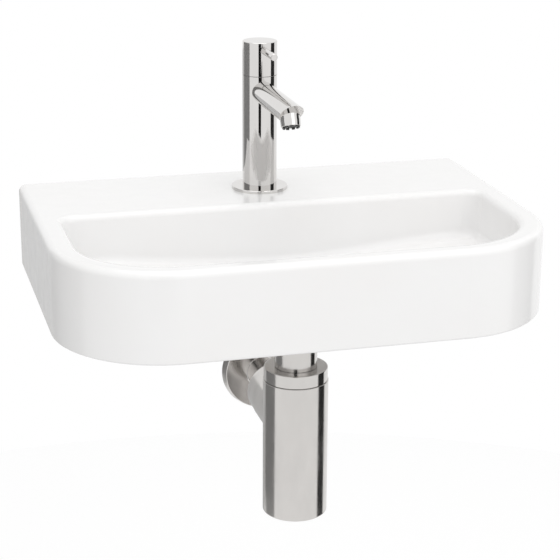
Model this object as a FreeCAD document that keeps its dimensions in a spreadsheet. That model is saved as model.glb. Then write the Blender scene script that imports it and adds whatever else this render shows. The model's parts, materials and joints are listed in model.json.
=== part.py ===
import FreeCAD, Part
import os
import re

import Sketcher

# A wall hung hand basin with a cold-water pillar tap and a bottle trap.
# Frame: X to the right, Y into the wall, Z up. The origin is on the wall plane, midway between the
# two fixing holes. Heights inside the pieces are counted from the basin's deck, which stands
# deck_height above the origin.

# Driving dimensions in millimetres and degrees: alias, value, what it is.
DIMENSIONS = [
    ("deck_height", 45.0, "deck above the wall fixing holes"),
    ("basin_width", 450.0, "overall width"),
    ("basin_depth", 310.0, "wall to front"),
    ("basin_height", 81.5, "height of the apron"),
    ("corner_radius", 100.0, "front corners in plan"),
    ("top_rounding", 6.5, "outer top edge"),
    ("foot_rounding", 2.0, "lower edge of the apron"),
    ("rim_width", 18.0, "front rim of the bowl"),
    ("side_rim_width", 22.5, "side rims of the bowl"),
    ("rim_rounding", 6.0, "inner edge of the rim"),
    ("bowl_setback", 124.0, "wall to the rear edge of the bowl"),
    ("bowl_rear_corner", 14.0, "rear corners of the bowl in plan"),
    ("bowl_draft", 4.0, "slope of the bowl walls"),
    ("shelf_depth", 46.0, "depth of the flat ends of the bowl"),
    ("dish_radius", 172.0, "where the floor starts to fall"),
    ("dish_depth", 60.0, "depth of the bowl at the waste"),
    ("dish_blend", 250.0, "rounding where the fall starts"),
    ("drain_flat", 36.0, "radius of the level round the waste"),
    ("drain_blend", 90.0, "rounding where the fall ends"),
    ("floor_rounding", 9.0, "between bowl wall and floor"),
    ("shell_wall", 10.0, "thickness of the bowl shell"),
    ("apron_inset", 5.5, "inner face of the apron, outside the edge of the bowl"),
    ("deck_thickness", 14.0, "thickness of the deck and the wall flange"),
    ("hollow_rounding", 5.0, "inner upright edges underneath"),
    ("boss_radius", 38.0, "waste boss under the bowl"),
    ("boss_depth", 76.0, "lower face of the waste boss"),
    ("drain_setback", 199.6, "wall to the waste axis"),
    ("drain_hole_radius", 23.0, "waste hole"),
    ("seat_radius", 33.0, "recess for the waste grid"),
    ("seat_depth", 64.0, "floor of that recess"),
    ("tap_setback", 65.4, "wall to the tap axis"),
    ("tap_hole_radius", 17.5, "tap hole in the deck"),
    ("fixing_spacing", 200.0, "between the wall fixing holes"),
    ("fixing_hole_radius", 6.0, "wall fixing holes"),
    ("tap_radius", 16.45, "tap body and handle"),
    ("tap_height", 143.1, "top of the handle above the deck"),
    ("seam_height", 111.3, "joint between body and handle"),
    ("seam_gap", 0.5, "open joint under the handle"),
    ("flange_radius", 27.0, "base flange"),
    ("flange_thickness", 3.0, "base flange"),
    ("base_seal_radius", 23.0, "seal under the base flange"),
    ("base_seal_thickness", 1.0, "seal under the base flange"),
    ("washer_radius", 25.0, "rubber washer under the deck"),
    ("washer_thickness", 3.0, "rubber washer under the deck"),
    ("plate_radius", 23.0, "steel plate under the deck"),
    ("plate_thickness", 1.5, "steel plate under the deck"),
    ("backnut_radius", 16.0, "corners of the backnut"),
    ("backnut_height", 8.0, "backnut"),
    ("shank_radius", 10.45, "half-inch pipe thread"),
    ("shank_bore", 6.0, "water way of the shank"),
    ("shank_top", 17.0, "upper end of the shank"),
    ("shank_groove", 40.0, "thread run-out groove below the deck"),
    ("shank_groove_radius", 9.7, "thread run-out groove"),
    ("shank_groove_width", 2.5, "thread run-out groove"),
    ("shank_length", 62.0, "lower end of the shank"),
    ("seat_height", 84.0, "valve seat in the tap body"),
    ("valve_seat_thickness", 4.0, "valve seat in the tap body"),
    ("valve_seat_bore", 6.0, "valve seat in the tap body"),
    ("chamber_radius", 13.2, "valve chamber of the tap body"),
    ("collar_radius", 14.0, "thread of the cartridge"),
    ("collar_height", 9.0, "thread of the cartridge"),
    ("barrel_radius", 9.5, "lower barrel of the cartridge"),
    ("disc_radius", 7.7, "ceramic discs"),
    ("disc_thickness", 3.0, "ceramic discs"),
    ("disc_port_radius", 2.0, "water ports of the discs"),
    ("disc_port_offset", 4.6, "water ports of the discs"),
    ("disc_clearance", 0.05, "between the two discs"),
    ("disc_room", 0.4, "round the moving disc"),
    ("spindle_radius", 4.0, "cartridge spindle"),
    ("spindle_clearance", 0.05, "running play of spindle and glide ring"),
    ("spindle_top", 133.0, "upper end of the spindle"),
    ("spindle_foot", 2.4, "foot of the spindle on the moving disc"),
    ("neck_radius", 8.0, "upper neck of the cartridge"),
    ("neck_top", 119.0, "upper neck of the cartridge"),
    ("hex_radius", 12.5, "hexagon of the cartridge"),
    ("hex_height", 4.5, "hexagon of the cartridge"),
    ("handle_cavity_radius", 14.6, "hollow under the handle"),
    ("handle_cavity_top", 125.0, "hollow under the handle"),
    ("handle_edge", 0.8, "rounding of the handle's top edge"),
    ("lever_height", 136.1, "lever pin above the deck"),
    ("lever_radius", 3.25, "lever pin"),
    ("lever_reach", 53.0, "tip of the lever pin from the tap axis"),
    ("lever_root", 14.8, "shoulder of the lever pin from the tap axis"),
    ("lever_stud_radius", 2.5, "thread of the lever pin"),
    ("lever_recess", 0.35, "open ring round the root of the lever pin"),
    ("screw_height", 129.5, "grub screw above the deck"),
    ("screw_radius", 2.5, "grub screw"),
    ("screw_length", 9.0, "grub screw"),
    ("spout_radius", 10.6, "spout tube"),
    ("spout_bore", 7.5, "water way of the spout"),
    ("spout_height", 96.0, "spout axis above the deck"),
    ("spout_reach", 112.8, "middle of the slanted spout end from the tap axis"),
    ("cut_angle", 37.3, "slope of the spout end from the level"),
    ("aerator_radius", 9.2, "aerator housing"),
    ("aerator_end_radius", 8.9, "aerator housing at its open end"),
    ("aerator_length", 8.7, "aerator housing from the sloped end to its mouth"),
    ("aerator_shift", 6.0, "aerator below the middle of the spout end, along the slope"),
    ("aerator_tilt", 24.0, "aerator axis from the vertical"),
    ("aerator_socket", 3.0, "plain socket above the sloped end"),
    ("aerator_taper", 2.6, "where the housing starts to taper"),
    ("aerator_thread_radius", 8.4, "aerator thread"),
    ("aerator_thread_length", 4.5, "aerator thread"),
    ("aerator_lip", 1.0, "wall of the aerator housing"),
    ("insert_proud", 1.4, "aerator insert below its housing"),
    ("aerator_washer_thickness", 1.2, "washer above the aerator"),
    ("insert_edge", 1.6, "rim of the aerator insert"),
    ("insert_notch", 2.4, "notches in the rim of the insert"),
    ("insert_hole", 0.75, "water holes of the insert"),
    ("grid_radius", 31.5, "waste grid"),
    ("grid_thickness", 2.4, "waste grid"),
    ("grid_hole_radius", 5.2, "holes of the waste grid"),
    ("grid_hole_offset", 13.5, "holes of the waste grid"),
    ("grid_skirt_radius", 21.5, "centring skirt of the waste grid"),
    ("grid_skirt_wall", 1.5, "centring skirt of the waste grid"),
    ("grid_skirt_depth", 6.0, "centring skirt of the waste grid"),
    ("grid_edge", 0.8, "rounding of the grid edge"),
    ("grid_recess", 0.6, "grid below the floor of the bowl"),
    ("under_seal_thickness", 3.0, "seal under the waste boss"),
    ("waste_flange_radius", 29.5, "flange of the waste body"),
    ("waste_flange_thickness", 4.0, "flange of the waste body"),
    ("waste_thread_radius", 20.95, "inch and a quarter pipe thread"),
    ("waste_bore", 18.2, "throat of the waste body"),
    ("waste_end", 103.8, "lower end of the waste body"),
    ("bridge_depth", 90.0, "top of the cross in the throat"),
    ("bridge_thickness", 6.0, "cross in the throat"),
    ("bridge_rib", 3.0, "width of the cross's ribs"),
    ("bridge_hub", 5.5, "hub of the cross"),
    ("waste_screw_radius", 3.0, "centre screw of the waste"),
    ("waste_screw_head", 6.2, "head of the centre screw"),
    ("waste_screw_head_height", 1.4, "head of the centre screw"),
    ("waste_screw_slot", 1.2, "slot of the centre screw"),
    ("union_radius", 24.0, "union nut"),
    ("union_top", 92.0, "union nut"),
    ("union_seal_thickness", 1.2, "union seal"),
    ("pipe_radius", 16.0, "waste pipes"),
    ("pipe_wall", 1.1, "waste pipes"),
    ("pipe_play", 0.3, "round the pipe where it passes freely"),
    ("tail_lip_radius", 20.4, "turned-out lip of the tail pipe"),
    ("tail_lip_thickness", 2.0, "turned-out lip of the tail pipe"),
    ("tail_end", 251.0, "lower end of the tail pipe inside the trap"),
    ("inlet_nut_radius", 19.7, "slip nut on the trap"),
    ("inlet_nut_top", 112.0, "slip nut on the trap"),
    ("inlet_neck_radius", 18.0, "threaded neck of the trap cap"),
    ("inlet_neck_top", 119.0, "threaded neck of the trap cap"),
    ("nut_floor", 3.0, "closed end of the slip and union nuts"),
    ("slip_seal_thickness", 4.0, "slip seals of inlet and outlet"),
    ("cap_top", 135.0, "top of the trap cap"),
    ("cap_joint", 147.3, "joint between cap and cup"),
    ("cap_plate", 2.0, "thickness of the cap's top"),
    ("skirt_depth", 10.7, "threaded skirt of the cap inside the cup"),
    ("cap_seal_thickness", 2.0, "seal between cap and cup"),
    ("joint_gap", 0.25, "open joint lines of the trap"),
    ("joint_chamfer", 0.35, "edges along the open joints"),
    ("cup_radius", 30.3, "trap cup"),
    ("cap_radius", 29.6, "trap cap, a little smaller than the cup"),
    ("cup_wall", 1.6, "trap cup"),
    ("cup_foot", 279.6, "bottom of the trap cup"),
    ("cup_foot_rounding", 1.6, "bottom edge of the trap cup"),
    ("cup_thread_radius", 28.6, "thread between cup and cap"),
    ("cup_mouth_radius", 26.2, "mouth of the cup"),
    ("outlet_drop", 187.0, "outlet axis below the deck"),
    ("stub_radius", 28.0, "outlet stub of the cup"),
    ("stub_reach", 54.5, "outlet stub from the trap axis"),
    ("stub_neck_radius", 24.0, "threaded neck of the stub"),
    ("stub_neck_length", 15.5, "threaded neck of the stub"),
    ("outlet_nut_radius", 27.6, "outlet nut"),
    ("outlet_nut_length", 18.0, "straight part of the outlet nut"),
    ("outlet_nut_cone", 7.5, "tapered rear of the outlet nut"),
    ("outlet_nut_end_radius", 22.5, "rear of the outlet nut"),
    ("pipe_insertion", 12.0, "outlet pipe inside the stub"),
    ("mark_radius", 15.75, "insertion mark turned into the outlet pipe"),
    ("mark_width", 1.0, "insertion mark turned into the outlet pipe"),
    ("spigot_length", 35.0, "end of the outlet pipe inside the wall"),
    ("rosette_radius", 39.3, "wall rosette, rear edge"),
    ("rosette_front_radius", 37.3, "wall rosette, front edge"),
    ("rosette_depth", 10.0, "wall rosette"),
    ("rosette_wall", 1.0, "wall rosette"),
    ("rosette_edge", 0.9, "bevel of the rosette's front edge"),
    ("rosette_standoff", 69.0, "rear edge of the rosette from the wall, as photographed"),
    ("rosette_play", 0.4, "rosette on its pipe"),
]
ALIASES = {alias for alias, value, note in DIMENSIONS}
TURNS = {"up": None, "wall": "-90", "front": "90", "outlet": "180 - aerator_tilt"}
TOLERANCE = 0.02

document = FreeCAD.newDocument("wall_hung_basin")
sheet = document.addObject("Spreadsheet::Sheet", "Dims")
pieces = []


def fill_sheet():
    for row, (alias, value, note) in enumerate(DIMENSIONS, start=1):
        sheet.set(f"A{row}", alias)
        sheet.set(f"B{row}", str(value))
        sheet.set(f"C{row}", note)
        sheet.setAlias(f"B{row}", alias)
    document.recompute()


def formula(text):
    """Writes a formula in the sheet's aliases the way an expression wants it."""
    return re.sub(
        r"[a-z_]+", lambda word: "Dims." + word.group() if word.group() in ALIASES else word.group(), text
    )


def bind(feature, **formulas):
    for name, text in formulas.items():
        feature.setExpression(name, formula(text))


def size(alias):
    return float(sheet.get(alias))


def new_body(label, y="0", z="deck_height", along="up"):
    """A piece whose own axis stands up, runs to the wall or the front, or leaves the spout's end."""
    body = document.addObject("PartDesign::Body", label)
    body.Label = label
    body.setExpression(".Placement.Base.y", formula(y))
    body.setExpression(".Placement.Base.z", formula(z))
    if TURNS[along]:
        body.Placement = FreeCAD.Placement(FreeCAD.Vector(), FreeCAD.Rotation(FreeCAD.Vector(1, 0, 0), 45))
        body.setExpression(".Placement.Rotation.Angle", formula(TURNS[along]))
    return body


def finished(body):
    pieces.append(body)
    return body


def outline(body, plane, corners, name):
    """A closed outline of straight edges in one of the body's own planes, its corners given as formulas."""
    sketch = body.newObject("Sketcher::SketchObject", name)
    planes = {part.Role: part for part in body.Origin.OriginFeatures}
    sketch.AttachmentSupport = (planes[plane], [""])
    sketch.MapMode = "FlatFace"
    count = len(corners)
    turn = FreeCAD.Rotation(FreeCAD.Vector(0, 0, 1), 360.0 / count)
    spots = [FreeCAD.Vector(10, 0, 0)]
    while len(spots) < count:
        spots.append(turn.multVec(spots[-1]))
    for index, spot in enumerate(spots):
        sketch.addGeometry(Part.LineSegment(spot, spots[(index + 1) % count]), False)
    for index in range(count):
        sketch.addConstraint(Sketcher.Constraint("Coincident", index, 2, (index + 1) % count, 1))
    for index, (across, up) in enumerate(corners):
        for kind, start, text in (("DistanceX", spots[index].x, across), ("DistanceY", spots[index].y, up)):
            number = sketch.addConstraint(Sketcher.Constraint(kind, -1, 1, index, 1, start))
            sketch.setExpression(f"Constraints[{number}]", formula(text))
    return sketch


def turned(label, corners, y="0", z="deck_height", along="up"):
    """A piece turned about its own axis; each corner is its radius and its place along the axis."""
    body = new_body(label, y, z, along)
    turning = body.newObject("PartDesign::Revolution", "Turning")
    turning.Profile = outline(body, "XZ_Plane", corners, "Section")
    turning.ReferenceAxis = (turning.Profile[0], ["V_Axis"])
    turning.Angle = 360
    return body


def ring(label, inner, outer, low, high, y="0", z="deck_height", along="up"):
    return finished(turned(label, [(inner, low), (outer, low), (outer, high), (inner, high)], y, z, along))


def primitive(body, kind, name, place=("0", "0", "0"), tilt=0.0, about=(1, 0, 0), **sizes):
    """A box, cylinder or prism added to or taken from a body, placed in the body's own frame."""
    feature = body.newObject("PartDesign::" + kind, name)
    feature.Placement = FreeCAD.Placement(FreeCAD.Vector(), FreeCAD.Rotation(FreeCAD.Vector(*about), tilt))
    for axis, text in zip("xyz", place):
        feature.setExpression(".Placement.Base." + axis, formula(text))
    bind(feature, **sizes)
    return feature


def edges_where(feature, wanted):
    return [f"Edge{n}" for n, edge in enumerate(feature.Shape.Edges, start=1) if wanted(edge)]


def worked_edges(body, kind, wanted, amount, name):
    """Rounds or bevels the edges of the body's last feature that the test picks out."""
    document.recompute()
    base = body.Tip
    feature = body.newObject("PartDesign::" + kind, name)
    feature.Base = (base, edges_where(base, wanted))
    bind(feature, **{"Radius" if kind == "Fillet" else "Size": amount})
    return feature


def circle_test(radius, height):
    """Picks full circles about the body's axis with this radius at this height."""
    def wanted(edge):
        curve = edge.Curve
        return (
            curve.TypeId == "Part::GeomCircle"
            and abs(curve.Radius - radius) < TOLERANCE
            and abs(curve.Center.z - height) < TOLERANCE
            and abs(curve.Center.x) + abs(curve.Center.y) < TOLERANCE
        )
    return wanted


# ---------------------------------------------------------------- basin


def plan(body, grow="0"):
    """The bowl's rectangle in plan, grown by a margin on every side."""
    side = f"basin_width / 2 - side_rim_width + {grow}"
    rear = f"-bowl_setback + {grow}"
    front = f"-basin_depth + rim_width - {grow}"
    corners = [(f"-({side})", rear), (side, rear), (side, front), (f"-({side})", front)]
    return outline(body, "XY_Plane", corners, "Plan")


def padded_down(body, sketch, length, draft=None):
    pad = body.newObject("PartDesign::Pad", "Casting")
    pad.Profile = sketch
    pad.Reversed = True
    bind(pad, Length=length)
    if draft:
        bind(pad, TaperAngle=draft)
    return pad


def upright(edge):
    """True for edges that run mainly up and down."""
    box = edge.BoundBox
    return box.ZLength > 3 * max(box.XLength, box.YLength)


def front_upright(edge):
    return upright(edge) and edge.CenterOfMass.y < -size("drain_setback")


def bowl_form(label, grow, drop):
    """The bowl as a solid: drafted walls in plan, cut off below by the dished floor."""
    walls = new_body(label + "_walls", z="0")
    padded_down(walls, plan(walls, grow), f"boss_depth + {drop}", "-bowl_draft")
    middle = -(size("bowl_setback") + size("basin_depth")) / 2
    worked_edges(walls, "Fillet", lambda edge: upright(edge) and edge.CenterOfMass.y < middle,
                 f"corner_radius - rim_width + {grow}", "FrontCorners")
    worked_edges(walls, "Fillet", lambda edge: upright(edge) and edge.CenterOfMass.y > middle + 60,
                 f"bowl_rear_corner + {grow}", "RearCorners")
    floor = turned(label + "_floor", [
        ("0", "0"),
        ("basin_width", "0"),
        ("basin_width", f"-shelf_depth - {drop}"),
        ("dish_radius", f"-shelf_depth - {drop}"),
        ("drain_flat", f"-dish_depth - {drop}"),
        ("0", f"-dish_depth - {drop}"),
    ], y="-drain_setback", z="0")
    depth = size("shell_wall") if drop != "0" else 0.0
    worked_edges(floor, "Fillet", circle_test(size("dish_radius"), -size("shelf_depth") - depth),
                 "dish_blend", "FallStart")
    worked_edges(floor, "Fillet", circle_test(size("drain_flat"), -size("dish_depth") - depth),
                 "drain_blend", "FallEnd")
    form = document.addObject("Part::Common", label)
    form.Base = walls
    form.Tool = floor
    document.recompute()
    return form


def underside():
    """The hollow under the deck and bowl: the inside of the apron less the bowl shell and waste boss."""
    inside = new_body("inside_apron", z="-deck_thickness")
    side = "basin_width / 2 - side_rim_width + apron_inset"
    front = "-basin_depth + rim_width - apron_inset"
    rear = "-deck_thickness"
    corners = [(f"-({side})", rear), (side, rear), (side, front), (f"-({side})", front)]
    padded_down(inside, outline(inside, "XY_Plane", corners, "Plan"), "basin_height")
    worked_edges(inside, "Fillet", front_upright,
                 "corner_radius - rim_width + apron_inset", "FrontCorners")
    worked_edges(inside, "Fillet", lambda edge: upright(edge) and not front_upright(edge),
                 "hollow_rounding", "RearCorners")
    boss = document.addObject("Part::Cylinder", "waste_boss")
    boss.setExpression(".Placement.Base.y", formula("-drain_setback"))
    boss.setExpression(".Placement.Base.z", formula("-boss_depth"))
    bind(boss, Radius="boss_radius", Height="boss_depth - shelf_depth")
    shell = document.addObject("Part::Fuse", "bowl_shell")
    shell.Base = bowl_form("shell_form", "shell_wall", "shell_wall")
    shell.Tool = boss
    hollow = document.addObject("Part::Cut", "underside_hollow")
    hollow.Base = inside
    hollow.Tool = shell
    document.recompute()
    return hollow


def within_bowl(edge, margin):
    box = edge.BoundBox
    side = size("basin_width") / 2 - size("side_rim_width") + margin
    front = size("basin_depth") - size("rim_width") + margin
    rear = size("bowl_setback") - margin
    return box.XMin > -side and box.XMax < side and box.YMin > -front and box.YMax < -rear


def rim_edge(edge):
    """Picks the edges between the deck and the walls of the bowl."""
    return within_bowl(edge, TOLERANCE) and abs(edge.CenterOfMass.z) < TOLERANCE


def floor_edge(edge):
    """Picks the edges where the walls of the bowl meet its floor."""
    low = -size("shelf_depth") + 1 > edge.CenterOfMass.z > -size("dish_depth")
    return low and edge.Curve.TypeId == "Part::GeomBSplineCurve" and within_bowl(edge, TOLERANCE)


def level_at(edge, height):
    box = edge.BoundBox
    return box.ZLength < TOLERANCE and abs(box.ZMax - height) < TOLERANCE


def basin():
    body = new_body("basin")
    corners = [
        ("-basin_width / 2", "0"),
        ("basin_width / 2", "0"),
        ("basin_width / 2", "-basin_depth"),
        ("-basin_width / 2", "-basin_depth"),
    ]
    padded_down(body, outline(body, "XY_Plane", corners, "Plan"), "basin_height")
    worked_edges(body, "Fillet", front_upright, "corner_radius", "FrontCorners")
    worked_edges(body, "Fillet", lambda edge: level_at(edge, 0.0) and edge.CenterOfMass.y < -TOLERANCE,
                 "top_rounding", "TopEdge")
    worked_edges(body, "Fillet", lambda edge: level_at(edge, -size("basin_height")),
                 "foot_rounding", "FootEdge")
    bowl = bowl_form("bowl_form", "0", "0")
    hollow = underside()
    cut = body.newObject("PartDesign::Boolean", "Hollows")
    cut.Type = "Cut"
    cut.Group = [bowl, hollow]
    document.recompute()
    worked_edges(body, "Fillet", rim_edge, "rim_rounding", "RimEdge")
    worked_edges(body, "Fillet", floor_edge, "floor_rounding", "FloorEdge")
    primitive(body, "SubtractiveCylinder", "TapHole", ("0", "-tap_setback", "-deck_thickness - 1"),
              Radius="tap_hole_radius", Height="deck_thickness + 2")
    primitive(body, "SubtractiveCylinder", "WasteHole", ("0", "-drain_setback", "-boss_depth - 1"),
              Radius="drain_hole_radius", Height="boss_depth")
    primitive(body, "SubtractiveCylinder", "WasteSeat", ("0", "-drain_setback", "-seat_depth"),
              Radius="seat_radius", Height="seat_depth")
    for side in ("-", ""):
        place = (f"{side}fixing_spacing / 2", "1", "-deck_height")
        primitive(body, "SubtractiveCylinder", "FixingHole", place, 90.0,
                  Radius="fixing_hole_radius", Height="deck_thickness + 2")
    return finished(body)


# ---------------------------------------------------------------- tap


def tap_base():
    finished(turned("tap_base_flange", [
        ("shank_radius + pipe_play", "base_seal_thickness"),
        ("base_seal_radius", "base_seal_thickness"),
        ("base_seal_radius", "0"),
        ("flange_radius", "0"),
        ("flange_radius", "flange_thickness"),
        ("shank_radius + pipe_play", "flange_thickness"),
    ], y="-tap_setback"))
    worked_edges(pieces[-1], "Fillet", circle_test(size("flange_radius"), size("flange_thickness")),
                 "handle_edge", "Rounding")
    ring("tap_base_seal", "shank_radius + pipe_play", "base_seal_radius", "0", "base_seal_thickness",
         y="-tap_setback")


def tap_body():
    top = "seam_height - seam_gap"
    body = turned("tap_body", [
        ("shank_radius", "flange_thickness"),
        ("tap_radius", "flange_thickness"),
        ("tap_radius", top),
        ("collar_radius", top),
        ("collar_radius", f"{top} - collar_height"),
        ("chamber_radius", f"{top} - collar_height"),
        ("chamber_radius", "seat_height"),
        ("valve_seat_bore", "seat_height"),
        ("valve_seat_bore", "seat_height - valve_seat_thickness"),
        ("shank_radius", "seat_height - valve_seat_thickness"),
    ], y="-tap_setback")
    primitive(body, "SubtractiveCylinder", "SpoutHole", ("0", "-spout_radius * 0.7", "spout_height"), 90.0,
              Radius="spout_radius", Height="tap_radius")
    return finished(body)


def tap_spout():
    """The spout runs forward from the body; its end is cut on the slope and bored for the aerator."""
    body = turned("tap_spout", [
        ("0", "spout_radius * 0.7"),
        ("spout_radius", "spout_radius * 0.7"),
        ("spout_radius", "spout_reach + 2 * spout_radius"),
        ("0", "spout_reach + 2 * spout_radius"),
    ], y="-tap_setback", z="deck_height + spout_height", along="front")
    primitive(body, "SubtractiveCylinder", "Saddle", ("0", "2 * spout_radius", "0"), 90.0,
              Radius="collar_radius", Height="4 * spout_radius")
    primitive(body, "SubtractiveCylinder", "WaterWay", ("0", "0", "0"),
              Radius="spout_bore", Height="spout_reach - spout_radius")
    slope = "4 * spout_radius"
    corner = ("-2 * spout_radius", f"-{slope} * sin(cut_angle)", f"spout_reach - {slope} * cos(cut_angle)")
    primitive(body, "SubtractiveBox", "SlopedEnd", corner,
              90.0 - size("cut_angle"), Length="4 * spout_radius", Width="8 * spout_radius", Height=slope)
    thread_end = "(aerator_socket + aerator_thread_length + aerator_washer_thickness)"
    for name, depth, radius in (("AeratorSocket", "aerator_socket", "aerator_radius"),
                                ("AeratorThread", thread_end, "aerator_thread_radius")):
        primitive(body, "SubtractiveCylinder", name, (
            "0",
            f"{depth} * cos(aerator_tilt) - aerator_shift * sin(cut_angle)",
            f"spout_reach - aerator_shift * cos(cut_angle) - {depth} * sin(aerator_tilt)",
        ), 90.0 - size("aerator_tilt"), Radius=radius, Height=f"{depth} + 2 * aerator_socket")
    return finished(body)


def at_spout_end(label, corners):
    """A piece turned about the aerator's axis, counted outward from the sloped end of the spout."""
    return turned(label, corners, y="-tap_setback - spout_reach + aerator_shift * cos(cut_angle)",
                  z="deck_height + spout_height - aerator_shift * sin(cut_angle)", along="outlet")


def aerator():
    inner = "aerator_end_radius - aerator_lip"
    bore = f"{inner} - insert_edge"
    shoulder = "-aerator_socket - aerator_thread_length"
    housing = at_spout_end("aerator_housing", [
        (bore, shoulder),
        ("aerator_thread_radius", shoulder),
        ("aerator_thread_radius", "-aerator_socket"),
        ("aerator_radius", "-aerator_socket"),
        ("aerator_radius", "aerator_taper"),
        ("aerator_end_radius", "aerator_length"),
        (inner, "aerator_length"),
        (inner, "insert_edge"),
        (bore, "insert_edge"),
    ])
    worked_edges(housing, "Fillet", circle_test(size("aerator_end_radius"), size("aerator_length")),
                 "lever_recess", "Rounding")
    finished(housing)
    insert = at_spout_end("aerator_insert", [
        ("0", "insert_edge"),
        (inner, "insert_edge"),
        (inner, "aerator_length + insert_proud"),
        (bore, "aerator_length + insert_proud"),
        (bore, "aerator_length"),
        ("0", "aerator_length"),
    ])
    primitive(insert, "SubtractiveBox", "Notch",
              (f"{bore} - insert_edge", "-insert_notch / 2", "aerator_length"),
              Length="3 * insert_edge", Width="insert_notch", Height="2 * insert_proud")
    around(insert, insert.Tip, 9, "Notches")
    for turn, (radius, count) in enumerate((("insert_notch", 6), ("2 * insert_notch", 10))):
        primitive(insert, "SubtractiveCylinder", f"WaterHole{turn}", (radius, "0", "0"),
                  Radius="insert_hole", Height="2 * aerator_length")
        around(insert, insert.Tip, count, f"WaterHoles{turn}")
    finished(insert)
    finished(at_spout_end("aerator_washer", [
        (bore, f"{shoulder} - aerator_washer_thickness"),
        ("aerator_thread_radius", f"{shoulder} - aerator_washer_thickness"),
        ("aerator_thread_radius", shoulder),
        (bore, shoulder),
    ]))


def around(body, feature, count, name):
    """Repeats a feature evenly about the body's own axis."""
    document.recompute()
    pattern = body.newObject("PartDesign::PolarPattern", name)
    pattern.Originals = [feature]
    pattern.Axis = ([part for part in body.Origin.OriginFeatures if part.Role == "Z_Axis"][0], [""])
    pattern.Angle = 360
    pattern.Occurrences = count
    body.Tip = pattern
    return pattern


def valve():
    """The ceramic valve under the handle: discs, cartridge, spindle and glide ring."""
    collar_top = "seam_height - seam_gap"
    collar_seat = f"{collar_top} - collar_height"
    room = "disc_radius + disc_room"
    disc_top = "seat_height + 2 * disc_thickness + disc_clearance"
    room_top = f"{disc_top} + spindle_foot + disc_room"
    body = turned("cartridge_body", [
        (room, "seat_height"),
        ("barrel_radius", "seat_height"),
        ("barrel_radius", collar_seat),
        ("collar_radius", collar_seat),
        ("collar_radius", collar_top),
        ("neck_radius", collar_top),
        ("neck_radius", "neck_top"),
        ("0", "neck_top"),
        ("0", room_top),
        (room, room_top),
    ], y="-tap_setback")
    primitive(body, "AdditivePrism", "Hexagon", ("0", "0", collar_top), Circumradius="hex_radius",
              Height="hex_height").Polygon = 6
    primitive(body, "SubtractiveCylinder", "SpindleBore", ("0", "0", "seat_height"),
              Radius="spindle_radius + spindle_clearance", Height="tap_height")
    corner = ("-collar_radius", "-disc_radius / 2", "seat_height + disc_thickness")
    primitive(body, "SubtractiveBox", "Windows", corner,
              Length="2 * collar_radius", Width="disc_radius", Height="disc_thickness + spindle_foot")
    finished(body)
    fixed = turned("fixed_disc", disc_outline(room, "seat_height"), y="-tap_setback")
    upper = "seat_height + disc_thickness + disc_clearance"
    moving = turned("moving_disc", disc_outline("disc_radius", upper), y="-tap_setback")
    for disc in (fixed, moving):
        primitive(disc, "SubtractiveCylinder", "Port", ("0", "disc_port_offset", "seat_height - 1"),
                  Radius="disc_port_radius", Height="3 * disc_thickness")
        around(disc, disc.Tip, 2, "Ports")
        finished(disc)
    finished(turned("cartridge_spindle", [
        ("0", disc_top),
        ("disc_radius", disc_top),
        ("disc_radius", f"{disc_top} + spindle_foot"),
        ("spindle_radius", f"{disc_top} + spindle_foot"),
        ("spindle_radius", "spindle_top"),
        ("0", "spindle_top"),
    ], y="-tap_setback"))
    ring("glide_ring", "hex_radius + 0.1", "handle_cavity_radius - spindle_clearance", collar_top,
         f"{collar_top} + 2.5", y="-tap_setback")


def disc_outline(radius, low):
    return [("0", low), (radius, low), (radius, f"{low} + disc_thickness"), ("0", f"{low} + disc_thickness")]


def handle():
    body = turned("tap_handle", [
        ("handle_cavity_radius", "seam_height"),
        ("tap_radius", "seam_height"),
        ("tap_radius", "tap_height"),
        ("0", "tap_height"),
        ("0", "spindle_top"),
        ("spindle_radius", "spindle_top"),
        ("spindle_radius", "handle_cavity_top"),
        ("handle_cavity_radius", "handle_cavity_top"),
    ], y="-tap_setback")
    worked_edges(body, "Fillet", circle_test(size("tap_radius"), size("tap_height")),
                 "handle_edge", "TopEdge")
    primitive(body, "SubtractiveCylinder", "PinRecess", ("0", "-lever_root", "lever_height"), 90.0,
              Radius="lever_radius + lever_recess", Height="lever_root")
    primitive(body, "SubtractiveCylinder", "PinThread", ("0", "-lever_root / 2", "lever_height"), 90.0,
              Radius="lever_stud_radius", Height="lever_root")
    primitive(body, "SubtractiveCylinder", "ScrewThread", ("0", "0", "screw_height"), -90.0,
              Radius="screw_radius", Height="2 * tap_radius")
    finished(body)
    pin = turned("lever_pin", [
        ("0", "lever_root / 2"),
        ("lever_stud_radius", "lever_root / 2"),
        ("lever_stud_radius", "lever_root"),
        ("lever_radius", "lever_root"),
        ("lever_radius", "lever_reach"),
        ("0", "lever_reach"),
    ], y="-tap_setback", z="deck_height + lever_height", along="front")
    worked_edges(pin, "Fillet", circle_test(size("lever_radius"), size("lever_reach")),
                 "handle_edge", "Tip")
    finished(pin)
    screw = turned("handle_screw", [
        ("0", "spindle_radius"),
        ("screw_radius", "spindle_radius"),
        ("screw_radius", "spindle_radius + screw_length"),
        ("0", "spindle_radius + screw_length"),
    ], y="-tap_setback", z="deck_height + screw_height", along="wall")
    socket = primitive(screw, "SubtractivePrism", "Socket", ("0", "0", "spindle_radius + screw_length / 2"),
                       Circumradius="screw_radius * 0.58", Height="screw_length")
    socket.Polygon = 6
    finished(screw)


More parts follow.
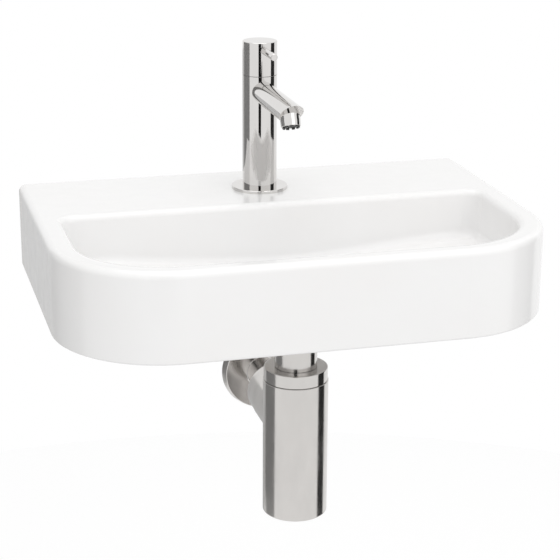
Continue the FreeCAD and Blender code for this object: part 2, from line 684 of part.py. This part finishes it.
def shank():
    """The threaded shank through the deck, clamped from below."""
    low = "-shank_groove - shank_groove_width"
    finished(turned("tap_shank", [
        ("shank_bore", "shank_top"),
        ("shank_radius", "shank_top"),
        ("shank_radius", "-shank_groove"),
        ("shank_groove_radius", "-shank_groove"),
        ("shank_groove_radius", low),
        ("shank_radius", low),
        ("shank_radius", "-shank_length"),
        ("shank_bore", "-shank_length"),
    ], y="-tap_setback"))
    washer = "-deck_thickness - washer_thickness"
    plate = f"{washer} - plate_thickness"
    clear = "shank_radius + pipe_play"
    ring("shank_washer", clear, "washer_radius", washer, "-deck_thickness", y="-tap_setback")
    ring("shank_plate", clear, "plate_radius", plate, washer, y="-tap_setback")
    nut = new_body("shank_backnut", y="-tap_setback")
    primitive(nut, "AdditivePrism", "Hexagon", ("0", "0", f"{plate} - backnut_height"),
              Circumradius="backnut_radius", Height="backnut_height").Polygon = 6
    primitive(nut, "SubtractiveCylinder", "Thread", ("0", "0", "-shank_length"),
              Radius="shank_radius", Height="shank_length")
    finished(nut)


# ---------------------------------------------------------------- waste


def waste():
    grid_top = "-dish_depth - grid_recess"
    under = f"{grid_top} - grid_thickness"
    skirt = "grid_skirt_radius - grid_skirt_wall"
    grid = turned("waste_grid", [
        ("0", grid_top),
        ("0", under),
        (skirt, under),
        (skirt, f"{under} - grid_skirt_depth"),
        ("grid_skirt_radius", f"{under} - grid_skirt_depth"),
        ("grid_skirt_radius", under),
        ("grid_radius", under),
        ("grid_radius", grid_top),
    ], y="-drain_setback")
    top = -size("dish_depth") - size("grid_recess")
    worked_edges(grid, "Fillet", circle_test(size("grid_radius"), top), "grid_edge", "Edge")
    primitive(grid, "SubtractiveCylinder", "ScrewHole", ("0", "0", "-boss_depth"),
              Radius="waste_screw_radius", Height="boss_depth")
    primitive(grid, "SubtractiveCylinder", "ScrewSeat", ("0", "0", f"{grid_top} - waste_screw_head_height"),
              Radius="waste_screw_head", Height="boss_depth")
    primitive(grid, "SubtractiveCylinder", "Hole", ("grid_hole_offset", "0", "-boss_depth"),
              Radius="grid_hole_radius", Height="boss_depth")
    around(grid, grid.Tip, 6, "Holes")
    finished(grid)
    ring("waste_top_seal", "grid_skirt_radius", "grid_radius", "-seat_depth", under, y="-drain_setback")
    head = f"{grid_top} - waste_screw_head_height"
    screw = turned("waste_screw", [
        ("0", grid_top),
        ("0", "-bridge_depth - bridge_thickness"),
        ("waste_screw_radius", "-bridge_depth - bridge_thickness"),
        ("waste_screw_radius", head),
        ("waste_screw_head", head),
        ("waste_screw_head", grid_top),
    ], y="-drain_setback")
    corner = ("-waste_screw_slot / 2", "-2 * waste_screw_head", f"{grid_top} - waste_screw_head_height / 2")
    primitive(screw, "SubtractiveBox", "Slot", corner,
              Length="waste_screw_slot", Width="4 * waste_screw_head", Height="waste_screw_head_height")
    finished(screw)
    flange = "-boss_depth - under_seal_thickness"
    ring("waste_under_seal", "drain_hole_radius", "waste_flange_radius", flange, "-boss_depth",
         y="-drain_setback")
    body = turned("waste_body", [
        ("waste_bore", flange),
        ("waste_flange_radius", flange),
        ("waste_flange_radius", f"{flange} - waste_flange_thickness"),
        ("waste_thread_radius", f"{flange} - 2 * waste_flange_thickness"),
        ("waste_thread_radius", "-waste_end"),
        ("waste_bore", "-waste_end"),
    ], y="-drain_setback")
    rib = "(waste_bore + waste_thread_radius) / 2"
    low = "-bridge_depth - bridge_thickness"
    primitive(body, "AdditiveBox", "RibAcross", (f"-{rib}", "-bridge_rib / 2", low),
              Length=f"2 * {rib}", Width="bridge_rib", Height="bridge_thickness")
    primitive(body, "AdditiveBox", "RibAlong", ("-bridge_rib / 2", f"-{rib}", low),
              Length="bridge_rib", Width=f"2 * {rib}", Height="bridge_thickness")
    primitive(body, "AdditiveCylinder", "Hub", ("0", "0", low),
              Radius="bridge_hub", Height="bridge_thickness")
    primitive(body, "SubtractiveCylinder", "HubThread", ("0", "0", "-waste_end"),
              Radius="waste_screw_radius", Height="waste_end")
    finished(body)


def tail():
    """The union under the waste and the tail pipe that dips into the trap."""
    lip = "-waste_end - union_seal_thickness"
    foot = f"{lip} - tail_lip_thickness"
    nut = new_body("union_nut", y="-drain_setback")
    primitive(nut, "AdditivePrism", "Hexagon", ("0", "0", f"{foot} - nut_floor"),
              Circumradius="union_radius * 1.12",
              Height=f"-union_top - ({foot} - nut_floor)").Polygon = 6
    primitive(nut, "SubtractiveCylinder", "Thread", ("0", "0", foot),
              Radius="waste_thread_radius", Height="waste_end")
    primitive(nut, "SubtractiveCylinder", "PipeHole", ("0", "0", "-cap_joint"),
              Radius="pipe_radius + pipe_play", Height="cap_joint")
    finished(nut)
    ring("union_seal", "pipe_radius", "tail_lip_radius", lip, "-waste_end", y="-drain_setback")
    inside = "pipe_radius - pipe_wall"
    finished(turned("tail_pipe", [
        (inside, lip),
        ("tail_lip_radius", lip),
        ("tail_lip_radius", foot),
        ("pipe_radius", foot),
        ("pipe_radius", "-tail_end"),
        (inside, "-tail_end"),
    ], y="-drain_setback"))


# ---------------------------------------------------------------- trap


def slip_nut():
    clear = "pipe_radius + pipe_play"
    floor = "-inlet_nut_top - nut_floor"
    nut = turned("inlet_nut", [
        (clear, "-inlet_nut_top"),
        ("inlet_nut_radius", "-inlet_nut_top"),
        ("inlet_nut_radius", "-cap_top + joint_gap"),
        ("inlet_neck_radius", "-cap_top + joint_gap"),
        ("inlet_neck_radius", floor),
        (clear, floor),
    ], y="-drain_setback")
    worked_edges(nut, "Fillet", circle_test(size("inlet_nut_radius"), -size("inlet_nut_top")),
                 "handle_edge", "TopEdge")
    finished(nut)
    ring("inlet_seal", "pipe_radius", "inlet_neck_radius", f"{floor} - slip_seal_thickness", floor,
         y="-drain_setback")


def cap():
    clear = "pipe_radius + pipe_play"
    joint = "-cap_joint + joint_gap / 2"
    skirt = "-cap_joint - skirt_depth"
    body = turned("trap_cap", [
        (clear, "-inlet_neck_top"),
        ("inlet_neck_radius", "-inlet_neck_top"),
        ("inlet_neck_radius", "-cap_top"),
        ("cap_radius", "-cap_top"),
        ("cap_radius", joint),
        ("cup_thread_radius", joint),
        ("cup_thread_radius", skirt),
        ("cup_mouth_radius", skirt),
        ("cup_mouth_radius", "-cap_top - cap_plate"),
        (clear, "-cap_top - cap_plate"),
    ], y="-drain_setback")
    low_edge = -size("cap_joint") + size("joint_gap") / 2
    worked_edges(body, "Fillet", circle_test(size("cap_radius"), -size("cap_top")), "handle_edge", "TopEdge")
    worked_edges(body, "Chamfer", circle_test(size("cap_radius"), low_edge), "joint_chamfer", "JointEdge")
    finished(body)
    ring("cap_seal", "cup_mouth_radius", "cup_thread_radius", f"{skirt} - cap_seal_thickness", skirt,
         y="-drain_setback")


def cup():
    """The trap cup with its outlet stub toward the wall."""
    mouth = "-cap_joint - joint_gap / 2"
    ledge = "-cap_joint - skirt_depth - cap_seal_thickness"
    body = turned("trap_cup", [
        ("0", mouth),
        ("cup_radius", mouth),
        ("cup_radius", "-cup_foot"),
        ("0", "-cup_foot"),
    ], y="-drain_setback")
    foot = circle_test(size("cup_radius"), -size("cup_foot"))
    top_edge = -size("cap_joint") - size("joint_gap") / 2
    worked_edges(body, "Fillet", foot, "cup_foot_rounding", "FootEdge")
    worked_edges(body, "Chamfer", circle_test(size("cup_radius"), top_edge), "joint_chamfer", "JointEdge")
    primitive(body, "AdditiveCylinder", "Stub", ("0", "0", "-outlet_drop"), -90.0,
              Radius="stub_radius", Height="stub_reach")
    primitive(body, "AdditiveCylinder", "StubNeck", ("0", "0", "-outlet_drop"), -90.0,
              Radius="stub_neck_radius", Height="stub_reach + stub_neck_length")
    primitive(body, "SubtractiveCylinder", "Well", ("0", "0", "-cup_foot + cup_wall"),
              Radius="cup_radius - cup_wall", Height=f"{ledge} - cup_wall + cup_foot - cup_wall")
    primitive(body, "SubtractiveCylinder", "Throat", ("0", "0", "-outlet_drop"),
              Radius="cup_mouth_radius", Height="outlet_drop")
    primitive(body, "SubtractiveCylinder", "Mouth", ("0", "0", ledge),
              Radius="cup_thread_radius", Height="outlet_drop")
    primitive(body, "SubtractiveCylinder", "OutletBore", ("0", "0", "-outlet_drop"), -90.0,
              Radius="pipe_radius + pipe_play", Height="drain_setback")
    finished(body)


def outlet():
    """Everything on the outlet axis, counted from the trap toward the wall."""
    here = {"y": "-drain_setback", "z": "deck_height - outlet_drop", "along": "wall"}
    clear = "pipe_radius + pipe_play"
    neck_end = "stub_reach + stub_neck_length"
    seal_end = f"{neck_end} + slip_seal_thickness"
    taper = "stub_reach + joint_gap + outlet_nut_length"
    rear = f"{taper} + outlet_nut_cone"
    nut = turned("outlet_nut", [
        ("stub_neck_radius", "stub_reach + joint_gap"),
        ("outlet_nut_radius", "stub_reach + joint_gap"),
        ("outlet_nut_radius", taper),
        ("outlet_nut_end_radius", rear),
        (clear, rear),
        (clear, seal_end),
        ("stub_neck_radius", seal_end),
    ], **here)
    finished(nut)
    ring("outlet_seal", "pipe_radius", "stub_neck_radius", neck_end, seal_end, **here)
    inside = "pipe_radius - pipe_wall"
    finished(turned("outlet_pipe", [
        (inside, f"{neck_end} - pipe_insertion"),
        ("pipe_radius", f"{neck_end} - pipe_insertion"),
        ("pipe_radius", "drain_setback"),
        ("mark_radius", "drain_setback"),
        ("mark_radius", "drain_setback + mark_width"),
        ("pipe_radius", "drain_setback + mark_width"),
        ("pipe_radius", "drain_setback + spigot_length"),
        (inside, "drain_setback + spigot_length"),
    ], **here))
    hole = "pipe_radius + rosette_play"
    rosette = turned("wall_rosette", [
        (hole, "-rosette_depth"),
        ("rosette_front_radius", "-rosette_depth"),
        ("rosette_radius", "0"),
        ("rosette_radius - rosette_wall", "0"),
        ("rosette_front_radius - rosette_wall", "rosette_wall - rosette_depth"),
        (hole, "rosette_wall - rosette_depth"),
    ], y="-rosette_standoff", z="deck_height - outlet_drop", along="wall")
    worked_edges(rosette, "Fillet", circle_test(size("rosette_front_radius"), -size("rosette_depth")),
                 "rosette_edge", "FrontEdge")
    finished(rosette)


# ---------------------------------------------------------------- all pieces

fill_sheet()
basin()
tap_base()
tap_body()
tap_spout()
aerator()
valve()
handle()
shank()
waste()
tail()
slip_nut()
cap()
cup()
outlet()
document.recompute()

for item in document.Objects:
    if "Invalid" in item.State or "Error" in item.State:
        raise RuntimeError(f"{item.Name} could not be worked out: {item.State}")
for piece in pieces:
    if piece.Shape.isNull() or not piece.Shape.isValid() or len(piece.Shape.Solids) != 1:
        raise RuntimeError(f"{piece.Label} isn't one sound solid")

os.makedirs("parts", exist_ok=True)
for piece in pieces:
    piece.Shape.exportStep(f"parts/{piece.Label}.step")
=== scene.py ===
import json
import math

import bpy
from mathutils import Matrix, Vector


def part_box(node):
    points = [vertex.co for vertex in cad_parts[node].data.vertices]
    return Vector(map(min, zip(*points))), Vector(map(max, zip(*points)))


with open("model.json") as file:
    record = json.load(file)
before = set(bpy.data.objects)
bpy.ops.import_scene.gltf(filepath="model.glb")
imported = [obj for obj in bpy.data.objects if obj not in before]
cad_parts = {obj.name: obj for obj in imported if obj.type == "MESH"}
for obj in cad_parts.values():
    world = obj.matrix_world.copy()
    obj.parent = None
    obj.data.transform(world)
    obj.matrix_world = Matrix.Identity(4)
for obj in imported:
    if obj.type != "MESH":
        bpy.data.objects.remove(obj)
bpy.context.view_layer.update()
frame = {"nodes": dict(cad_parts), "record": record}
nodes = frame["nodes"]
for old in [o for o in bpy.data.objects if o.type in ("CAMERA", "LIGHT")]:
    bpy.data.objects.remove(old)

# ---------------------------------------------------------------- material kit


class Recipe:
    """A material made of nodes, read on object coordinates."""

    def __init__(self, name):
        self.material = bpy.data.materials.new(name)
        self.material.use_nodes = True
        self.tree = self.material.node_tree
        self.shader = self.tree.nodes["Principled BSDF"]
        self.place = self.tree.nodes.new("ShaderNodeTexCoord").outputs["Object"]

    def put(self, **values):
        for name, value in values.items():
            self.shader.inputs[name.replace("_", " ")].default_value = value
        return self

    def node(self, kind, **inputs):
        made = self.tree.nodes.new("ShaderNode" + kind)
        for name, value in inputs.items():
            self.feed(made.inputs[name.replace("_", " ")], value)
        return made

    def feed(self, socket, value):
        if isinstance(value, bpy.types.NodeSocket):
            self.tree.links.new(value, socket)
        else:
            socket.default_value = value

    def stretched(self, scale):
        """Object coordinates pulled out by a different amount along each axis."""
        return self.node("Mapping", Vector=self.place, Scale=scale).outputs["Vector"]

    def noise(self, size, detail=3.0, rough=0.5, where=None):
        """Clouds with features of about this size in metres, 0 to 1."""
        return self.node("TexNoise", Vector=where or self.place, Scale=1.0 / size, Detail=detail,
                         Roughness=rough).outputs["Fac"]

    def spots(self, size):
        """Distance to the nearest of many scattered points, in cell widths."""
        return self.node("TexVoronoi", Vector=self.place, Scale=1.0 / size).outputs["Distance"]

    def spread(self, value, low, high, to_low, to_high):
        """Carries low..high over to to_low..to_high and holds it there."""
        made = self.node("MapRange", Value=value)
        for name, number in (("From Min", low), ("From Max", high), ("To Min", to_low), ("To Max", to_high)):
            made.inputs[name].default_value = number
        return made.outputs["Result"]

    def maths(self, operation, first, second):
        made = self.tree.nodes.new("ShaderNodeMath")
        made.operation = operation
        self.feed(made.inputs[0], first)
        self.feed(made.inputs[1], second)
        return made.outputs[0]

    def tinted(self, amount, first, second):
        """A colour between two, by an amount."""
        made = self.tree.nodes.new("ShaderNodeMix")
        made.data_type = "RGBA"
        self.feed(made.inputs[0], amount)
        self.feed(made.inputs[6], first)
        self.feed(made.inputs[7], second)
        return made.outputs[2]

    def colour(self, value):
        self.feed(self.shader.inputs["Base Color"], value)
        return self

    def roughness(self, value):
        self.feed(self.shader.inputs["Roughness"], value)
        return self

    def relief(self, *layers):
        """Bump from (height 0..1, depth in metres) layers, one over the other."""
        normal = None
        for height, depth in layers:
            made = self.node("Bump", Height=height, Distance=depth, Strength=1.0)
            if normal:
                self.tree.links.new(normal, made.inputs["Normal"])
            normal = made.outputs["Normal"]
        self.tree.links.new(normal, self.shader.inputs["Normal"])
        return self


def grey(level, warm=0.0):
    return (level * (1.0 + warm), level, level * (1.0 - warm), 1.0)


def glaze():
    """White vitreous china: a wet glaze over a body that clouds very slightly."""
    r = Recipe("glaze")
    cloud = r.noise(0.09, 2.0)
    r.colour(r.tinted(r.spread(cloud, 0.3, 0.7, 0.0, 1.0), grey(0.935, 0.003), grey(0.92, 0.008)))
    r.roughness(r.spread(r.noise(0.02, 4.0), 0.3, 0.7, 0.20, 0.26))
    r.put(IOR=1.5, Coat_Weight=0.2, Coat_Roughness=0.06, Coat_IOR=1.5)
    return r.relief((r.noise(0.028, 1.0), 0.00022), (r.noise(0.0022, 2.0), 0.000006)).material


WIPED_LEVEL = 0.965
WIPED_HAZE = 2.2


def chrome(name, level, warm, haze):
    """Polished plate with faint polishing lines, wiping marks and dried drops."""
    r = Recipe(name)
    wipe = r.noise(0.012, 3.0, where=r.stretched((1.0, 1.0, 0.35)))
    clean, wiped = grey(level, warm), grey(level * WIPED_LEVEL, warm)
    r.colour(r.tinted(r.spread(wipe, 0.35, 0.7, 0.0, 1.0), clean, wiped))
    drops = r.spread(r.spots(0.006), 0.05, 0.16, 0.05, 0.0)
    r.roughness(r.maths("ADD", r.spread(wipe, 0.3, 0.75, haze, haze * WIPED_HAZE), drops))
    r.put(Metallic=1.0)
    lines = r.noise(0.0006, 2.0, where=r.stretched((1.0, 1.0, 0.05)))
    return r.relief((lines, 0.0000012), (r.noise(0.02, 1.0), 0.00002)).material


def rubber():
    """Black moulded rubber, dull and very slightly grained."""
    r = Recipe("rubber")
    r.colour(r.tinted(r.noise(0.006, 3.0), grey(0.022), grey(0.045, 0.02)))
    r.roughness(r.spread(r.noise(0.002, 3.0), 0.3, 0.7, 0.55, 0.75))
    return r.relief((r.noise(0.0008, 3.0), 0.00003)).material


def brass():
    """Machined brass: fine turning rings, a little tarnish."""
    r = Recipe("brass")
    tarnish = r.noise(0.008, 4.0, 0.6)
    bright, dull = (0.78, 0.60, 0.30, 1.0), (0.58, 0.42, 0.21, 1.0)
    r.colour(r.tinted(r.spread(tarnish, 0.35, 0.75, 0.0, 1.0), bright, dull))
    r.roughness(r.spread(tarnish, 0.3, 0.7, 0.18, 0.36))
    r.put(Metallic=1.0)
    rings = r.noise(0.0007, 1.0, where=r.stretched((0.05, 0.05, 1.0)))
    return r.relief((rings, 0.00002)).material


def zinc():
    """Zinc plate on steel, with its small grey flakes."""
    r = Recipe("zinc_plate")
    flakes = r.spots(0.0016)
    r.colour(r.tinted(r.spread(flakes, 0.0, 0.8, 0.0, 1.0), grey(0.62), grey(0.48, 0.02)))
    r.roughness(r.spread(r.noise(0.004, 3.0), 0.3, 0.7, 0.28, 0.45))
    r.put(Metallic=1.0)
    return r.relief((r.noise(0.0009, 3.0), 0.00001)).material


def plastic(name, level, rough):
    """Moulded plastic with a fine even grain."""
    r = Recipe(name)
    r.colour(r.tinted(r.noise(0.01, 3.0), grey(level), grey(level * 0.86, 0.01)))
    r.roughness(r.spread(r.noise(0.003, 3.0), 0.3, 0.7, rough, rough + 0.12))
    return r.relief((r.noise(0.0007, 2.0), 0.00001)).material


def lapped():
    """A ceramic disc ground flat and nearly polished."""
    r = Recipe("disc_ceramic")
    r.colour(r.tinted(r.noise(0.004, 2.0), grey(0.86, 0.01), grey(0.80, 0.02)))
    r.roughness(r.spread(r.noise(0.002, 2.0), 0.3, 0.7, 0.12, 0.2))
    return r.relief((r.noise(0.0005, 2.0), 0.000004)).material


finishes = {
    "glaze": glaze(),
    "tap_chrome": chrome("tap_chrome", 0.70, 0.02, 0.03),
    "trap_chrome": chrome("trap_chrome", 0.62, 0.03, 0.11),
    "rubber": rubber(),
    "brass": brass(),
    "steel": zinc(),
    "disc_ceramic": lapped(),
    "insert_plastic": plastic("insert_plastic", 0.05, 0.35),
    "ring_plastic": plastic("ring_plastic", 0.82, 0.4),
}
slot_of = {entry["node"]: entry["material_slot"] for entry in frame["record"]["subparts"]}
for name, piece in nodes.items():
    for socket in piece.material_slots:
        socket.material = finishes[slot_of[name]]

# ---------------------------------------------------------------- floor, light and camera

FLOOR_LEVEL = -0.805
FLOOR_RADIUS = 1.5
FLOOR_TONE = 0.62
FLOOR_LIFT = 0.47
CARD_DISTANCE = 1.0
CAMERA_LENS = 106.55
CAMERA_PLACE = Vector((-0.3904, -1.5716, 0.4600))
CAMERA_RIGHT = Vector((0.96511, -0.26179, 0.00547))
CAMERA_ABOVE = Vector((0.07649, 0.30185, 0.95028))
tap_low, tap_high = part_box("tap_handle")
TAP_AXIS = (tap_low + tap_high) / 2.0
toward = (CAMERA_PLACE - TAP_AXIS).xy.normalized()


def background_rays(tree):
    """1 for rays that show the background: the camera's own, and those off metal and through glass."""
    rays = tree.nodes.new("ShaderNodeLightPath")
    shown = rays.outputs["Is Camera Ray"]
    for name in ("Is Glossy Ray", "Is Transmission Ray"):
        either = tree.nodes.new("ShaderNodeMath")
        either.operation = "MAXIMUM"
        tree.links.new(shown, either.inputs[0])
        tree.links.new(rays.outputs[name], either.inputs[1])
        shown = either.outputs[0]
    return shown


def matt_paint(name, level):
    """An even grey coat with no gloss."""
    paint = bpy.data.materials.new(name)
    paint.use_nodes = True
    shader = paint.node_tree.nodes["Principled BSDF"]
    shader.inputs["Base Color"].default_value = grey(level)
    shader.inputs["Roughness"].default_value = 0.9
    shader.inputs["Specular IOR Level"].default_value = 0.0
    return paint


def pale_floor(level, lift):
    """A matt floor, lifted to white where it is seen, with the object's shadow left on it."""
    material = matt_paint("studio_floor", level)
    tree = material.node_tree
    amount = tree.nodes.new("ShaderNodeMath")
    amount.operation = "MULTIPLY"
    amount.inputs[1].default_value = lift
    tree.links.new(background_rays(tree), amount.inputs[0])
    glow = tree.nodes.new("ShaderNodeEmission")
    tree.links.new(amount.outputs[0], glow.inputs["Strength"])
    total = tree.nodes.new("ShaderNodeAddShader")
    tree.links.new(tree.nodes["Principled BSDF"].outputs[0], total.inputs[0])
    tree.links.new(glow.outputs[0], total.inputs[1])
    tree.links.new(total.outputs[0], tree.nodes["Material Output"].inputs["Surface"])
    return material


bpy.ops.mesh.primitive_circle_add(vertices=96, radius=FLOOR_RADIUS, fill_type="NGON",
                                  location=(0.0, -0.2, FLOOR_LEVEL))
floor = bpy.context.active_object
floor.name = "studio_floor"
floor.data.materials.append(pale_floor(FLOOR_TONE, FLOOR_LIFT))


def studio_world():
    """A soft bright tent, dimmer to the left and behind, with a plain white background."""
    world = bpy.data.worlds.new("studio")
    bpy.context.scene.world = world
    world.use_nodes = True
    tree = world.node_tree
    links = tree.links
    split = tree.nodes.new("ShaderNodeSeparateXYZ")
    links.new(tree.nodes.new("ShaderNodeTexCoord").outputs["Generated"], split.inputs[0])

    def ramp(axis, low, high):
        made = tree.nodes.new("ShaderNodeMapRange")
        made.interpolation_type = "SMOOTHSTEP"
        made.inputs["From Min"].default_value = -1.0
        made.inputs["From Max"].default_value = 1.0
        made.inputs["To Min"].default_value = low
        made.inputs["To Max"].default_value = high
        links.new(split.outputs[axis], made.inputs["Value"])
        return made.outputs["Result"]

    across = ramp("X", 0.77, 0.88)
    along = ramp("Y", 1.26, 0.58)
    product = tree.nodes.new("ShaderNodeMath")
    product.operation = "MULTIPLY"
    links.new(across, product.inputs[0])
    links.new(along, product.inputs[1])
    tent = tree.nodes["Background"]
    links.new(product.outputs[0], tent.inputs["Color"])
    seen = tree.nodes.new("ShaderNodeBackground")
    seen.inputs["Color"].default_value = grey(1.0)
    mix = tree.nodes.new("ShaderNodeMixShader")
    links.new(background_rays(tree), mix.inputs[0])
    links.new(tent.outputs[0], mix.inputs[1])
    links.new(seen.outputs[0], mix.inputs[2])
    links.new(mix.outputs[0], tree.nodes["World Output"].inputs["Surface"])


studio_world()


def softbox(name, place, towards, side, watts):
    """A square soft lamp, turned to face a point."""
    lamp = bpy.data.lights.new(name, "AREA")
    lamp.shape = "SQUARE"
    lamp.size = side
    lamp.energy = watts
    box = bpy.data.objects.new(name, lamp)
    bpy.context.scene.collection.objects.link(box)
    box.location = place
    box.rotation_euler = (Vector(towards) - Vector(place)).to_track_quat("-Z", "Y").to_euler()


def standing_card(name, heading, width, foot, top, level):
    """A plain upright card near the tap, for metal and glaze to mirror.

    Its heading is in degrees to the right of the camera. It marks neither the floor nor the light.
    """
    reach = toward * CARD_DISTANCE
    reach.rotate(Matrix.Rotation(math.radians(heading), 2))
    bpy.ops.mesh.primitive_plane_add(size=1.0)
    card = bpy.context.active_object
    card.name = name
    card.scale = (width, top - foot, 1.0)
    card.location = (TAP_AXIS.x + reach.x, TAP_AXIS.y + reach.y, (top + foot) / 2.0)
    card.rotation_euler = reach.to_3d().to_track_quat("Z", "Y").to_euler()
    card.data.materials.append(matt_paint(name, level))
    card.visible_camera = False
    card.visible_diffuse = False
    card.visible_shadow = False


standing_card("left_card", heading=-100.0, width=1.1, foot=FLOOR_LEVEL, top=0.5, level=0.30)
standing_card("back_card", heading=-155.0, width=1.0, foot=FLOOR_LEVEL, top=0.0, level=0.65)
standing_card("right_card", heading=95.0, width=0.6, foot=FLOOR_LEVEL, top=0.5, level=0.04)
standing_card("camera_flag", heading=0.0, width=0.3, foot=-0.2, top=0.5, level=0.02)

softbox("key", place=(0.55, -1.7, 1.6), towards=(0.0, -0.2, 0.0), side=1.3, watts=3.5)
softbox("top", place=(-0.1, -0.1, 1.9), towards=(0.0, -0.15, 0.0), side=1.4, watts=7.8)

camera_data = bpy.data.cameras.new("photo_view")
camera_data.sensor_width = 36.0
camera_data.lens = CAMERA_LENS
camera_data.clip_end = 30.0
camera = bpy.data.objects.new("photo_view", camera_data)
bpy.context.scene.collection.objects.link(camera)
behind = CAMERA_RIGHT.cross(CAMERA_ABOVE)
axes = Matrix((CAMERA_RIGHT, CAMERA_ABOVE, behind)).transposed()
camera.matrix_world = Matrix.Translation(CAMERA_PLACE) @ axes.to_4x4()
bpy.context.scene.camera = camera
bpy.context.scene.view_settings.view_transform = "Standard"
